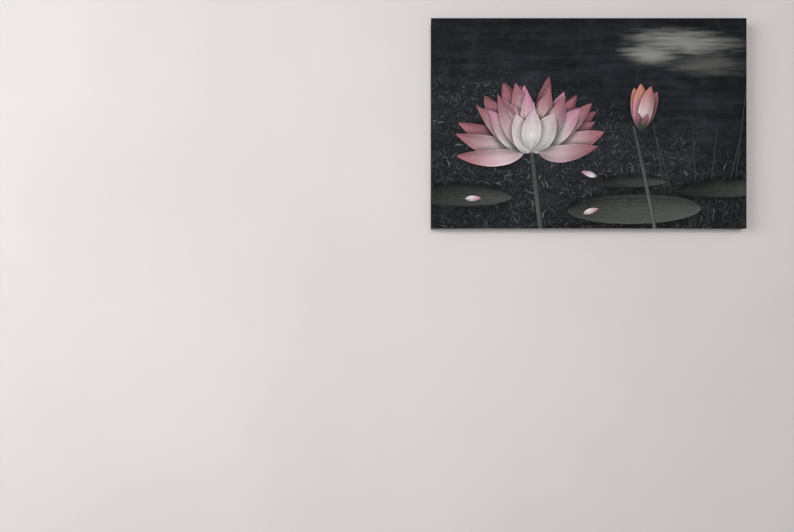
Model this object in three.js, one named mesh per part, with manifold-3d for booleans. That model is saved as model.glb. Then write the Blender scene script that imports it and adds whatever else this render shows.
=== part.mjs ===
// A frameless canvas print: printed canvas wrapped round a keyed pine stretcher frame and stapled at the back,
// with a centre brace, two sawtooth hangers and four wall bumpers. Millimetres, +Z up, the picture faces -Y.
// The origin is on the wall, midway between the hangers, at the height where the wall nails carry them.
import * as THREE from 'three';
import Module from 'manifold-3d';
import { mergeVertices } from 'three/addons/utils/BufferGeometryUtils.js';

const wasm = await Module();
wasm.setup();

// Driving sizes of the print.
const printWidth = 900;
const printHeight = 600;
const printDepth = 38;
const wallGap = 3;
const cloth = 0.5;
const gap = 0.3;

// The canvas that is folded onto the back.
const flapWidth = 27;
const foldCutWidth = 0.8;
const foldCutSetback = 3;

// Stretcher bars. Across a bar, u runs inwards from its outer face and v runs back from its front.
const barWidth = 45;
const barDepth = printDepth - 2 * (cloth + gap);
const lipWidth = 6;
const lipRound = 1.5;
const lipStepWidth = 3;
const lipStepDepth = 1.5;
const innerEdgeDrop = 6;
const mitreSetback = (gap / 2) * Math.SQRT2;

// Centre brace and its tenons.
const braceWidth = 45;
const braceThickness = 18;
const braceChamfer = 2;
const braceBackInset = 3;
const tenonLength = 12;
const tenonWidth = 25;
const tenonThickness = 9;

// Corner keys, the wedges that spread the frame.
const keyLength = 38;
const keyThickness = 3;
const keyTipWidth = 6;
const keyButtWidth = 15;
const keyTipChamfer = 2;
const keyInsert = 21;
const keySlotEnd = 1.5;
const keyFromBack = { across: 9, upright: 16 };

// Sawtooth hangers and their screws.
const hangerSpread = 560;
const hangerLine = 35;
const stripLength = 60;
const stripHeight = 9;
const stripThickness = 1;
const stripRaise = 1.6;
const raisedHalf = 17;
const rampRun = 3;
const toothPitch = 3;
const toothCount = 10;
const toothDepth = 1.5;
const screwInset = 4.5;
const shankRadius = 1;
const shankLength = 10;
const shankPoint = 1.5;
const headRadius = 2.5;
const headHeight = 1.1;
const headShoulder = { radius: 2.3, height: 0.55 };
const headCrown = { radius: 1.5, height: 1 };

// Wall bumpers and staples.
const bumperRadius = 6;
const bumperChamfer = 0.5;
const bumperInset = 16;
const stapleLength = 12;
const stapleWire = 1.2;
const stapleHeight = 0.7;
const stapleInset = 14;
const stapleEndInset = 52;
const stapleTilt = THREE.MathUtils.degToRad(8);
const stapleCount = { across: 11, upright: 6 };

// How finely the round shapes are divided, and how far a cutter reaches past what it cuts.
const roundSides = 32;
const holeSides = 16;
const edgeSteps = 4;
const hangerEndSteps = 10;
const past = 5;

const printedCanvas = new THREE.MeshStandardMaterial({ color: 0x2b2e33, roughness: 0.82, metalness: 0 });
const pine = new THREE.MeshStandardMaterial({ color: 0xd8b788, roughness: 0.7, metalness: 0 });
const beech = new THREE.MeshStandardMaterial({ color: 0xcfae85, roughness: 0.6, metalness: 0 });
const zincSteel = new THREE.MeshStandardMaterial({ color: 0xb4b7ba, roughness: 0.35, metalness: 1 });
const bumperRubber = new THREE.MeshStandardMaterial({ color: 0x2c2c2e, roughness: 0.75, metalness: 0 });

// Solids and geometries
function toSolid(geometry) {
  const bare = geometry.clone();
  bare.deleteAttribute('normal');
  bare.deleteAttribute('uv');
  const merged = mergeVertices(bare);
  const vertProperties = new Float32Array(merged.attributes.position.array);
  const triVerts = new Uint32Array(merged.index.array);
  return new wasm.Manifold(new wasm.Mesh({ numProp: 3, vertProperties, triVerts }));
}

function toGeometry(solid) {
  const mesh = solid.getMesh();
  const geometry = new THREE.BufferGeometry();
  geometry.setAttribute('position', new THREE.BufferAttribute(mesh.vertProperties, 3));
  geometry.setIndex(new THREE.BufferAttribute(mesh.triVerts, 1));
  geometry.computeVertexNormals();
  return geometry;
}

function blockBetween(low, high) {
  const size = high.clone().sub(low);
  const centre = high.clone().add(low).multiplyScalar(0.5);
  return new THREE.BoxGeometry(size.x, size.y, size.z).translate(centre.x, centre.y, centre.z);
}

function cutFrom(geometry, cutters) {
  let solid = toSolid(geometry);
  for (const cutter of cutters) {
    solid = solid.subtract(toSolid(cutter));
  }
  return toGeometry(solid);
}

function meshOf(name, geometry, material, parent) {
  const mesh = new THREE.Mesh(geometry, material);
  mesh.name = name;
  parent.add(mesh);
  return mesh;
}

// Canvas, in the print's own frame: x across, y back from the picture, z up from its middle.
function canvasGeometry() {
  const half = new THREE.Vector3(printWidth / 2, 0, printHeight / 2);
  const outer = blockBetween(
    new THREE.Vector3(-half.x, 0, -half.z),
    new THREE.Vector3(half.x, printDepth, half.z),
  );
  const hollow = blockBetween(
    new THREE.Vector3(cloth - half.x, cloth, cloth - half.z),
    new THREE.Vector3(half.x - cloth, printDepth - cloth, half.z - cloth),
  );
  const backWindow = blockBetween(
    new THREE.Vector3(flapWidth - half.x, printDepth / 2, flapWidth - half.z),
    new THREE.Vector3(half.x - flapWidth, printDepth + past, half.z - flapWidth),
  );
  const cutters = [hollow, backWindow];
  const cutLength = (flapWidth - foldCutSetback + past) * Math.SQRT2;
  for (const sideX of [-1, 1]) {
    for (const sideZ of [-1, 1]) {
      const foldCut = new THREE.BoxGeometry(cutLength, 2 * past, foldCutWidth);
      foldCut.rotateY(-sideX * sideZ * Math.PI / 4);
      const middle = (foldCutSetback + flapWidth + past) / 2;
      foldCut.translate(sideX * (half.x - middle), printDepth + past - 2 * cloth, sideZ * (half.z - middle));
      cutters.push(foldCut);
    }
  }
  return cutFrom(outer, cutters);
}

// Stretcher bars, in a side's frame: x is u, y is v and z runs along the bar from its middle.
function barBlank(length) {
  const section = new THREE.Shape();
  section.moveTo(0, barDepth);
  section.lineTo(0, lipRound);
  section.absarc(lipRound, lipRound, lipRound, Math.PI, 1.5 * Math.PI, false);
  section.lineTo(lipWidth, 0);
  section.lineTo(lipWidth + lipStepWidth, lipStepDepth);
  section.lineTo(barWidth, innerEdgeDrop);
  section.lineTo(barWidth, barDepth);
  section.closePath();
  const blank = new THREE.ExtrudeGeometry(section, {
    depth: length,
    bevelEnabled: false,
    curveSegments: edgeSteps,
  });
  blank.translate(0, 0, -length / 2);
  const places = blank.attributes.position;
  for (let i = 0; i < places.count; i += 1) {
    const end = Math.sign(places.getZ(i));
    places.setZ(i, end * (length / 2 - places.getX(i) - mitreSetback));
  }
  return blank;
}

function keySlot(end, length, keyMiddle) {
  const reach = length / 2 - barWidth - gap;
  const slotWidth = keyWidthAt(keyInsert) + 2 * gap;
  const low = new THREE.Vector3(
    barWidth - keyInsert - keySlotEnd,
    keyMiddle - keyThickness / 2 - gap,
    Math.min(end * (reach - slotWidth), end * length / 2),
  );
  const high = new THREE.Vector3(
    barWidth + past,
    keyMiddle + keyThickness / 2 + gap,
    Math.max(end * (reach - slotWidth), end * length / 2),
  );
  return blockBetween(low, high);
}

function keyWidthAt(fromTip) {
  return keyTipWidth + (keyButtWidth - keyTipWidth) * (fromTip / keyLength);
}

function keyGeometry(end, length, keyMiddle) {
  const straight = length / 2 - barWidth - gap;
  const tip = barWidth - keyInsert;
  const outline = new THREE.Shape();
  outline.moveTo(tip + keyTipChamfer, end * straight);
  outline.lineTo(tip + keyLength, end * straight);
  outline.lineTo(tip + keyLength, end * (straight - keyButtWidth));
  outline.lineTo(tip + keyTipChamfer, end * (straight - keyWidthAt(keyTipChamfer)));
  outline.lineTo(tip, end * (straight - keyWidthAt(0) + keyTipChamfer));
  outline.lineTo(tip, end * (straight - keyTipChamfer));
  outline.closePath();
  const key = new THREE.ExtrudeGeometry(outline, { depth: keyThickness, bevelEnabled: false });
  key.rotateX(Math.PI / 2);
  key.translate(0, keyMiddle + keyThickness / 2, 0);
  return key;
}

const braceMiddle = barDepth - braceBackInset - braceThickness / 2;

function mortise() {
  return blockBetween(
    new THREE.Vector3(
      barWidth - tenonLength - gap,
      braceMiddle - tenonThickness / 2 - gap,
      -tenonWidth / 2 - gap,
    ),
    new THREE.Vector3(
      barWidth + past,
      braceMiddle + tenonThickness / 2 + gap,
      tenonWidth / 2 + gap,
    ),
  );
}

function screwHole(along) {
  const depth = shankLength + past;
  const hole = new THREE.CylinderGeometry(shankRadius + gap, shankRadius + gap, depth, holeSides);
  return hole.translate(hangerLine - cloth - gap, barDepth + past - gap - depth / 2, along);
}

// Brace, in the print's own frame.
function braceGeometry() {
  const length = printHeight - 2 * (cloth + gap + barWidth + gap);
  const halfWidth = braceWidth / 2;
  const halfThick = braceThickness / 2;
  const section = new THREE.Shape();
  section.moveTo(-halfWidth + braceChamfer, -halfThick);
  section.lineTo(halfWidth - braceChamfer, -halfThick);
  section.lineTo(halfWidth, -halfThick + braceChamfer);
  section.lineTo(halfWidth, halfThick - braceChamfer);
  section.lineTo(halfWidth - braceChamfer, halfThick);
  section.lineTo(-halfWidth + braceChamfer, halfThick);
  section.lineTo(-halfWidth, halfThick - braceChamfer);
  section.lineTo(-halfWidth, -halfThick + braceChamfer);
  section.closePath();
  const body = new THREE.ExtrudeGeometry(section, { depth: length, bevelEnabled: false });
  body.translate(0, 0, -length / 2);
  const tenons = new THREE.BoxGeometry(tenonWidth, tenonThickness, length + 2 * tenonLength);
  const brace = toGeometry(toSolid(body).add(toSolid(tenons)));
  return brace.translate(0, cloth + gap + braceMiddle, 0);
}

// Sawtooth hanger: x along the strip, y out from the wood, z up from the strip's middle.
function hangerGeometry() {
  const halfLength = stripLength / 2;
  const bend = raisedHalf + rampRun;
  const raised = stripRaise + stripThickness;
  const side = new THREE.Shape();
  side.moveTo(-halfLength, 0);
  side.lineTo(-bend, 0);
  side.lineTo(-raisedHalf, stripRaise);
  side.lineTo(raisedHalf, stripRaise);
  side.lineTo(bend, 0);
  side.lineTo(halfLength, 0);
  side.lineTo(halfLength, stripThickness);
  side.lineTo(bend, stripThickness);
  side.lineTo(raisedHalf, raised);
  side.lineTo(-raisedHalf, raised);
  side.lineTo(-bend, stripThickness);
  side.lineTo(-halfLength, stripThickness);
  side.closePath();
  const bent = new THREE.ExtrudeGeometry(side, { depth: stripHeight + 2 * past, bevelEnabled: false });
  bent.translate(0, 0, -stripHeight / 2 - past);

  const round = stripHeight / 2;
  const teethHalf = toothCount * toothPitch / 2;
  const face = new THREE.Shape();
  face.moveTo(halfLength - round, -round);
  face.absarc(halfLength - round, 0, round, -Math.PI / 2, Math.PI / 2, false);
  face.lineTo(-halfLength + round, round);
  face.absarc(-halfLength + round, 0, round, Math.PI / 2, 1.5 * Math.PI, false);
  for (let tooth = 0; tooth < toothCount; tooth += 1) {
    const start = tooth * toothPitch - teethHalf;
    face.lineTo(start, -round);
    face.lineTo(start + toothPitch / 2, toothDepth - round);
  }
  face.lineTo(teethHalf, -round);
  face.closePath();
  const stamped = new THREE.ExtrudeGeometry(face, {
    depth: 2 * past,
    bevelEnabled: false,
    curveSegments: hangerEndSteps,
  });
  stamped.rotateX(Math.PI / 2);
  stamped.translate(0, past + raised / 2, 0);

  let strip = toSolid(bent).intersect(toSolid(stamped));
  for (const sideX of [-1, 1]) {
    const hole = new THREE.CylinderGeometry(shankRadius + gap, shankRadius + gap, 2 * past, holeSides);
    hole.translate(sideX * (halfLength - screwInset), 0, 0);
    strip = strip.subtract(toSolid(hole));
  }
  return toGeometry(strip);
}

function turned(profile, sides) {
  return new THREE.LatheGeometry(profile.map(([radius, height]) => new THREE.Vector2(radius, height)), sides);
}

function screwGeometry() {
  const underHead = stripThickness + gap;
  const tip = underHead - shankLength;
  return turned([
    [0, tip],
    [shankRadius, tip + shankPoint],
    [shankRadius, underHead],
    [headRadius, underHead],
    [headShoulder.radius, underHead + headShoulder.height],
    [headCrown.radius, underHead + headCrown.height],
    [0, underHead + headHeight],
  ], holeSides);
}

function bumperGeometry() {
  const height = wallGap - gap;
  return turned([
    [0, 0],
    [bumperRadius, 0],
    [bumperRadius, height - bumperChamfer],
    [bumperRadius - bumperChamfer, height],
    [0, height],
  ], roundSides);
}

// Staple crown: it lies along z, and its back is y = 0.
function stapleGeometry() {
  const straight = (stapleLength - stapleWire) / 2;
  const round = stapleWire / 2;
  const outline = new THREE.Shape();
  outline.moveTo(round, -straight);
  outline.lineTo(round, straight);
  outline.absarc(0, straight, round, 0, Math.PI, false);
  outline.lineTo(-round, -straight);
  outline.absarc(0, -straight, round, Math.PI, 2 * Math.PI, false);
  const crown = new THREE.ExtrudeGeometry(outline, {
    depth: stapleHeight,
    bevelEnabled: false,
    curveSegments: edgeSteps,
  });
  return crown.rotateX(-Math.PI / 2);
}

// The print's own frame has its origin at the middle of the picture.
const hangDrop = hangerLine + stripHeight / 2 - toothDepth;
const object = new THREE.Group();
const print = new THREE.Group();
print.position.set(0, -printDepth - wallGap, hangDrop - printHeight / 2);
object.add(print);

meshOf('canvas', canvasGeometry(), printedCanvas, print);
meshOf('brace', braceGeometry(), pine, print);

const backOfWood = cloth + gap + barDepth;

// Each side's frame: x inwards, y back, z along. Its ends are named for the neighbour there, low z first.
const sides = [
  { name: 'top', inward: [0, 0, -1], along: [1, 0, 0], lies: 'across', ends: ['left', 'right'] },
  { name: 'bottom', inward: [0, 0, 1], along: [-1, 0, 0], lies: 'across', ends: ['right', 'left'] },
  { name: 'left', inward: [1, 0, 0], along: [0, 0, 1], lies: 'upright', ends: ['bottom', 'top'] },
  { name: 'right', inward: [-1, 0, 0], along: [0, 0, -1], lies: 'upright', ends: ['top', 'bottom'] },
];

for (const side of sides) {
  const inward = new THREE.Vector3(...side.inward);
  const along = new THREE.Vector3(...side.along);
  const back = new THREE.Vector3(0, 1, 0);
  const lengthOutside = side.lies === 'across' ? printWidth : printHeight;
  const toEdge = (side.lies === 'across' ? printHeight : printWidth) / 2;
  const length = lengthOutside - 2 * (cloth + gap);
  const frame = new THREE.Group();
  frame.quaternion.setFromRotationMatrix(new THREE.Matrix4().makeBasis(inward, back, along));
  frame.position.copy(inward).multiplyScalar(-toEdge + cloth + gap);
  frame.position.y = cloth + gap;
  print.add(frame);

  const keyMiddle = barDepth - keyFromBack[side.lies];
  const cutters = [keySlot(-1, length, keyMiddle), keySlot(1, length, keyMiddle)];
  if (side.lies === 'across') {
    cutters.push(mortise());
  }
  if (side.name === 'top') {
    for (const hanger of [-1, 1]) {
      for (const screw of [-1, 1]) {
        cutters.push(screwHole(hanger * hangerSpread / 2 + screw * (stripLength / 2 - screwInset)));
      }
    }
  }
  meshOf(`bar_${side.name}`, cutFrom(barBlank(length), cutters), pine, frame);

  side.ends.forEach((neighbour, which) => {
    const end = which === 0 ? -1 : 1;
    meshOf(`key_${side.name}_${neighbour}`, keyGeometry(end, length, keyMiddle), beech, frame);
  });

  const staples = stapleCount[side.lies];
  const stapleSpan = length - 2 * stapleEndInset;
  for (let i = 0; i < staples; i += 1) {
    const number = String(i + 1).padStart(2, '0');
    const staple = meshOf(`staple_${side.name}_${number}`, stapleGeometry(), zincSteel, frame);
    staple.position.set(stapleInset, barDepth + cloth + 2 * gap, (i / (staples - 1) - 0.5) * stapleSpan);
    staple.rotation.y = (i % 2 === 0 ? 1 : -1) * stapleTilt;
  }
}

for (const [name, sideX] of [['left', -1], ['right', 1]]) {
  const hanger = new THREE.Group();
  hanger.position.set(sideX * hangerSpread / 2, backOfWood + gap, printHeight / 2 - hangerLine);
  print.add(hanger);
  meshOf(`hanger_${name}`, hangerGeometry(), zincSteel, hanger);
  for (const [place, sign] of [['outer', sideX], ['inner', -sideX]]) {
    const screw = meshOf(`screw_${name}_${place}`, screwGeometry(), zincSteel, hanger);
    screw.position.x = sign * (stripLength / 2 - screwInset);
  }
  for (const [level, sideZ] of [['top', 1], ['bottom', -1]]) {
    const bumper = meshOf(`bumper_${level}_${name}`, bumperGeometry(), bumperRubber, print);
    const toCentre = { x: printWidth / 2 - bumperInset, z: printHeight / 2 - bumperInset };
    bumper.position.set(sideX * toCentre.x, printDepth + gap, sideZ * toCentre.z);
  }
}

export default object;
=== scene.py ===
"""Dresses a frameless canvas print and sets the room that it is seen in.

The print is a stretched cloth with a printed water lily on a keyed pine frame, with its staples, hangers
and wall bumpers. The room is a plain wall and floor in soft light.
"""

import math
import random

import bmesh
import bpy
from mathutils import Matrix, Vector, noise


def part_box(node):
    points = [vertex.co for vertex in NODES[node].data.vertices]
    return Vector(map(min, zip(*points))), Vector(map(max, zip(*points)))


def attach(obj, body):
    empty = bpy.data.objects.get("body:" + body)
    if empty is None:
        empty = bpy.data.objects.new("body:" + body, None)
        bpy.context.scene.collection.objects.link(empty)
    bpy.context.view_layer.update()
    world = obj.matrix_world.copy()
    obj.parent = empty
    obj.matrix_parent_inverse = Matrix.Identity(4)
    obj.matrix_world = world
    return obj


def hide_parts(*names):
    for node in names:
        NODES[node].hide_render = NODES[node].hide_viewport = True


bl_info = {
    "name": "Canvas Print",
    "version": (1, 0, 0),
    "blender": (4, 5, 0),
    "location": "3D View > Sidebar > Canvas Print",
    "description": "Models a stretched canvas print and its pine frame round a fixed frame of parts",
    "category": "Add Mesh",
}

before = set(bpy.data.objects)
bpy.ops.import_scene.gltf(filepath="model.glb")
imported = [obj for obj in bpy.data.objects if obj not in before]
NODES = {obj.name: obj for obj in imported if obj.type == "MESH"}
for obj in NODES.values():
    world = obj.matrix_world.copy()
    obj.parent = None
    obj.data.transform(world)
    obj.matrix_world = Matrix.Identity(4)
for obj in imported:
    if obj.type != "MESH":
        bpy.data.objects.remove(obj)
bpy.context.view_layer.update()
MM = 0.001

# The print's own measures, all read from the frame.
CLOTH_LOW, CLOTH_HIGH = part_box("canvas")
WIDTH, DEPTH, HEIGHT = CLOTH_HIGH - CLOTH_LOW
MIDDLE = (CLOTH_LOW + CLOTH_HIGH) / 2
PICTURE_Y = CLOTH_LOW.y
BACK_Y = CLOTH_HIGH.y
WALL_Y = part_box("bumper_bottom_left")[1].y
SIDES = ("top", "bottom", "left", "right")

# The corner folds: where the second layer starts, how soon it is at its height, how it ends, and the mitre.
FOLD_LINE = 1.9 * MM
FOLD_RISE = 0.35 * MM
FOLD_FADE = 5 * MM
MITRE_CREASE = 0.2 * MM

CLOTH_MAP = "Cloth"
GRID = 18 * MM
STAPLE_PITCH = 82 * MM
SCREW_RISE = 1.15 * MM
CLOSE = 0.01 * MM
QUARTER = math.pi / 2
WHITE, BLACK = (1, 1, 1, 1), (0, 0, 0, 1)

# The photograph's frame, and the point in it that its level lines run to, in pixels.
FRAME_WIDTH, FRAME_HEIGHT = 794, 532
SIGHT_X, SIGHT_Y = 422, 274


# Settings


def number_setting(name, description, default, unit="NONE"):
    return bpy.props.FloatProperty(name=name, description=description, default=default, unit=unit)


def length_setting(name, description, default):
    return number_setting(name, description, default, "LENGTH")


def colour_setting(name, description, default):
    return bpy.props.FloatVectorProperty(
        name=name, description=description, default=default, subtype="COLOR"
    )


class ClothSettings(bpy.types.PropertyGroup):
    flap: length_setting("Back flap", "Width of the cloth folded onto the back", 27 * MM)
    thickness: length_setting("Thickness", "Thickness of the primed canvas", 0.45 * MM)
    front_round: length_setting("Front rounding", "Radius of the cloth over the bars' front lip", 1.8 * MM)
    sag: length_setting("Slack", "How far the middle of the picture sinks back", 0.9 * MM)
    fold_height: length_setting("Fold height", "How far a corner fold's second layer stands proud", 0.40 * MM)
    thread_pitch: length_setting("Thread pitch", "Distance from thread to thread", 0.62 * MM)
    bleed: length_setting("Printed bleed", "How far the ink runs onto the back flap", 7 * MM)
    raw_colour: colour_setting("Raw canvas", "Colour of the unprinted back of the cloth", (0.62, 0.56, 0.45))
    primer_colour: colour_setting(
        "Primer", "Colour of the white coating that takes the ink", (0.78, 0.77, 0.74)
    )


class PictureSettings(bpy.types.PropertyGroup):
    water: colour_setting("Water", "Dark of the still water", (0.0108, 0.0126, 0.0168))
    haze: colour_setting("Haze", "Pale blurred light on the far water", (0.315, 0.322, 0.295))
    fleck: colour_setting("Leaflets", "Grey of the leaflets on the water", (0.100, 0.102, 0.106))
    petal: colour_setting("Petal", "Pale body of the petals", (0.80, 0.775, 0.765))
    blush: colour_setting("Blush", "Pink towards the petals' tips", (0.58, 0.27, 0.38))
    rose: colour_setting("Rose", "Deep rose of the outer petals", (0.36, 0.145, 0.175))
    coral: colour_setting("Coral", "Coral of the bud and the flower's heart", (0.60, 0.25, 0.18))
    leaf: colour_setting("Leaf", "Grey green of the floating leaves", (0.062, 0.070, 0.064))


class TimberSettings(bpy.types.PropertyGroup):
    pale: colour_setting("Early wood", "Pale wood between the rings", (0.66, 0.46, 0.26))
    dark: colour_setting("Late wood", "Darker wood of the rings", (0.47, 0.27, 0.12))
    ring: length_setting("Ring spacing", "Distance from ring to ring", 3.2 * MM)
    eased: length_setting("Eased edge", "Rounding of the bars' sawn edges", 0.9 * MM)
    key_pale: colour_setting("Key wood", "Pale wood of the corner keys", (0.56, 0.36, 0.20))
    key_dark: colour_setting("Key rings", "Darker rings of the corner keys", (0.44, 0.25, 0.13))
    key_ring: length_setting("Key ring spacing", "Distance from ring to ring in the keys", 1.4 * MM)


class FittingSettings(bpy.types.PropertyGroup):
    zinc: colour_setting("Zinc", "Colour of the bright zinc plate", (0.60, 0.61, 0.63))
    rubber: colour_setting("Rubber", "Colour of the wall bumpers", (0.022, 0.022, 0.024))
    staple_leg: length_setting("Staple leg", "Length of a staple's leg that is modelled", 3 * MM)


class StageSettings(bpy.types.PropertyGroup):
    eye_side: length_setting("Eye to the left", "From the picture's middle to the lens, across", 0.4755)
    eye_drop: length_setting("Eye below", "From the picture's lower edge down to the lens", 0.1297)
    distance: length_setting("Camera distance", "From the lens to the picture", 1.81)
    eye_height: length_setting("Eye height", "Height of the lens above the floor", 1.04)
    lens: number_setting("Lens", "Focal length in millimetres on a 36 mm sensor", 28.8)
    wall_colour: colour_setting("Wall", "Colour of the painted wall", (0.735, 0.692, 0.686))
    floor_colour: colour_setting("Floor", "Colour of the plain floor", (0.66, 0.65, 0.63))
    key_power: number_setting("Key light", "Power of the broad light on the left", 128.0, "POWER")
    fill_power: number_setting("Front light", "Power of the soft light from the front", 93.0, "POWER")
    back_power: number_setting("Back light", "Power of the soft light behind the wall", 78.0, "POWER")
    air: number_setting("Room light", "Strength of the even light from all round", 0.19)
    backdrop: number_setting("Backdrop", "Brightness of the empty room behind, where no wall shows", 0.62)


# Shader trees


class Tree:
    """A shader tree under construction. Each call adds a node and gives back its output."""

    def __init__(self, tree):
        self.tree = tree

    def node(self, kind, **settings):
        made = self.tree.nodes.new("ShaderNode" + kind)
        for name, value in settings.items():
            setattr(made, name, value)
        return made

    def feed(self, socket, value):
        if isinstance(value, bpy.types.NodeSocket):
            self.tree.links.new(value, socket)
        elif socket.type == "RGBA" and len(value) == 3:
            socket.default_value = (*value, 1)
        else:
            socket.default_value = value

    def fill(self, made, **values):
        for name, value in values.items():
            self.feed(made.inputs[name.replace("_", " ")], value)
        return made

    def math(self, operation, *values):
        made = self.node("Math", operation=operation)
        for socket, value in zip(made.inputs, values):
            self.feed(socket, value)
        return made.outputs[0]

    def chain(self, operation, total, *values):
        for value in values:
            total = self.math(operation, total, value)
        return total

    def times(self, *values):
        return self.chain("MULTIPLY", *values)

    def plus(self, *values):
        return self.chain("ADD", *values)

    def minus(self, first, second):
        return self.math("SUBTRACT", first, second)

    def over(self, first, second):
        return self.math("DIVIDE", first, second)

    def vector(self, operation, *values):
        made = self.node("VectorMath", operation=operation)
        for socket, value in zip(made.inputs, values):
            self.feed(socket, value)
        return made.outputs["Value" if operation == "LENGTH" else "Vector"]

    def scaled(self, vector, amount):
        made = self.node("VectorMath", operation="SCALE")
        self.feed(made.inputs[0], vector)
        self.feed(made.inputs["Scale"], amount)
        return made.outputs["Vector"]

    def mix(self, factor, first, second, blend="MIX"):
        made = self.node("Mix", data_type="RGBA", blend_type=blend)
        self.feed(made.inputs[0], factor)
        self.feed(made.inputs[6], first)
        self.feed(made.inputs[7], second)
        return made.outputs[2]

    def brighter(self, colour, amount):
        made = self.node("HueSaturation")
        return self.fill(made, Color=colour, Value=amount).outputs[0]

    def span(self, value, low, high, to_low=0.0, to_high=1.0, kind="SMOOTHSTEP"):
        made = self.node("MapRange", interpolation_type=kind, clamp=False)
        for socket, amount in zip(made.inputs, (value, low, high, to_low, to_high)):
            self.feed(socket, amount)
        return made.outputs[0]

    def noise(self, vector, scale, detail=2.0, roughness=0.5, distortion=0.0):
        made = self.node("TexNoise")
        self.fill(made, Vector=vector, Scale=scale, Detail=detail, Roughness=roughness, Distortion=distortion)
        return made.outputs["Fac"]

    def place(self, vector, location=(0, 0, 0), angle=0.0, scale=(1, 1, 1)):
        """The vector seen from a frame at that location, turned by that angle, and measured in that scale."""
        made = self.node("Mapping", vector_type="TEXTURE")
        turn = angle if isinstance(angle, tuple) else (0.0, 0.0, angle)
        return self.fill(made, Vector=vector, Location=location, Rotation=turn, Scale=scale).outputs[0]

    def joined(self, x, y, z):
        made = self.node("CombineXYZ")
        return self.fill(made, X=x, Y=y, Z=z).outputs[0]

    def parts(self, vector):
        made = self.node("SeparateXYZ")
        self.feed(made.inputs[0], vector)
        return made.outputs

    def group(self, name, **values):
        made = self.node("Group", node_tree=bpy.data.node_groups[name])
        return self.fill(made, **values).outputs


def shader_group(name, inputs, outputs):
    """A new node group, as a Tree, with its input sockets and the sockets that take its outputs.

    An input with no default is a vector, one with a tuple is a colour, and the rest are plain values.
    """
    tree = bpy.data.node_groups.new(name, "ShaderNodeTree")
    for label, default in inputs.items():
        kind = "Vector" if default is None else "Color" if isinstance(default, tuple) else "Float"
        socket = tree.interface.new_socket(name=label, in_out="INPUT", socket_type="NodeSocket" + kind)
        if default is not None:
            socket.default_value = default
    for label in outputs:
        kind = "Color" if label == "Color" else "Float"
        tree.interface.new_socket(name=label, in_out="OUTPUT", socket_type="NodeSocket" + kind)
    given = tree.nodes.new("NodeGroupInput").outputs
    taken = tree.nodes.new("NodeGroupOutput").inputs
    return Tree(tree), given, taken


def woven_threads():
    """Plain weave: threads that pass over and under each other, with slubs."""
    build, given, taken = shader_group(
        "Woven Threads", {"Vector": None, "Pitch": 0.6 * MM}, ("Height", "Slub")
    )
    drift = build.times(build.noise(given["Vector"], 90.0, 1.0), 2.2 * MM)
    turns = []
    for axis in build.parts(given["Vector"])[:2]:
        threads = build.over(build.plus(axis, drift), given["Pitch"])
        turns.append(build.times(threads, math.pi))
    warp, weft = (build.math("ABSOLUTE", build.math("SINE", turn)) for turn in turns)
    over = build.times(*(build.math("COSINE", turn) for turn in turns))
    share = build.span(over, -0.25, 0.25)
    slub = build.noise(build.place(given["Vector"], scale=(1.2 * MM, 14 * MM, 1)), 1.0, 2.0)
    height = build.plus(build.times(warp, share), build.times(weft, build.minus(1.0, share)))
    build.feed(taken["Height"], build.plus(height, build.times(slub, 0.2)))
    build.feed(taken["Slub"], slub)


def petal_group():
    """One petal, leaf or stem, laid under those already drawn.

    It works in plain numbers and from front to back, so that a long chain of them stays within what the
    renderer can hold.
    """
    build, given, taken = shader_group(
        "Petal",
        {
            "Across": 0.0, "Up": 0.0, "Base Across": 0.0, "Base Up": 0.0, "Cosine": 1.0, "Sine": 0.0,
            "Length": 0.1, "Half Breadth": 0.03, "Bend": 0.0, "Root Shape": 0.6, "Tip Shape": 0.7,
            "Fullness": 2.5, "Soft": 0.07, "Light Side": 0.25, "Veins": 0.07, "Ragged": 0.0, "Blotch": 0.0,
            "Near Colour": WHITE, "Tip Colour": WHITE, "Above": BLACK, "Gap": 1.0,
        },
        ("Color", "Gap"),
    )
    times, plus, minus = build.times, build.plus, build.minus
    from_base_x = minus(given["Across"], given["Base Across"])
    from_base_y = minus(given["Up"], given["Base Up"])
    outwards = plus(times(from_base_x, given["Cosine"]), times(from_base_y, given["Sine"]))
    sideways = minus(times(from_base_y, given["Cosine"]), times(from_base_x, given["Sine"]))
    share = build.over(outwards, given["Length"])
    # Past its ends the petal's reach grows steeply, so nothing of it is left there.
    inside = build.math("MINIMUM", build.math("MAXIMUM", share, 0.0005), 0.9995)
    bow = times(inside, inside, given["Bend"])
    offset = plus(build.over(sideways, given["Half Breadth"]), bow)
    swell = build.math("POWER", inside, given["Root Shape"])
    taper = build.math("POWER", minus(1.0, inside), given["Tip Shape"])
    side = build.over(offset, times(swell, taper, given["Fullness"]))
    beyond = times(build.math("ABSOLUTE", minus(share, inside)), 400.0)
    reach = plus(build.math("ABSOLUTE", side), times(given["Ragged"], 0.10), beyond)

    # Reach is 0 along the petal's middle and 1 at its edge. The petal darkens outwards and at its root, its
    # rim is light again, and what lies under it is shaded close to its edge.
    cover = build.span(reach, 1.0, minus(1.0, given["Soft"]))
    ribs = times(build.math("SINE", times(plus(side, times(given["Ragged"], 0.3)), 25.0)), given["Veins"])
    rim = build.span(reach, 0.72, 0.95, 0.0, 0.16)
    hollow = build.span(reach, 0.0, 0.75, 0.0, -0.16)
    root = build.span(inside, 0.0, 0.42, -0.38, 0.0)
    light = plus(1.02, ribs, times(side, given["Light Side"]), rim, hollow, times(given["Blotch"], 0.9), root)
    turn = build.span(plus(inside, given["Blotch"]), 0.22, 0.95)
    lit = build.brighter(build.mix(turn, given["Near Colour"], given["Tip Colour"]), light)
    build.feed(taken["Color"], build.mix(times(cover, given["Gap"]), given["Above"], lit, "ADD"))
    shadow = build.span(reach, 1.75, 0.85, 1.0, 0.38)
    build.feed(taken["Gap"], times(given["Gap"], minus(1.0, cover), shadow))


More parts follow.
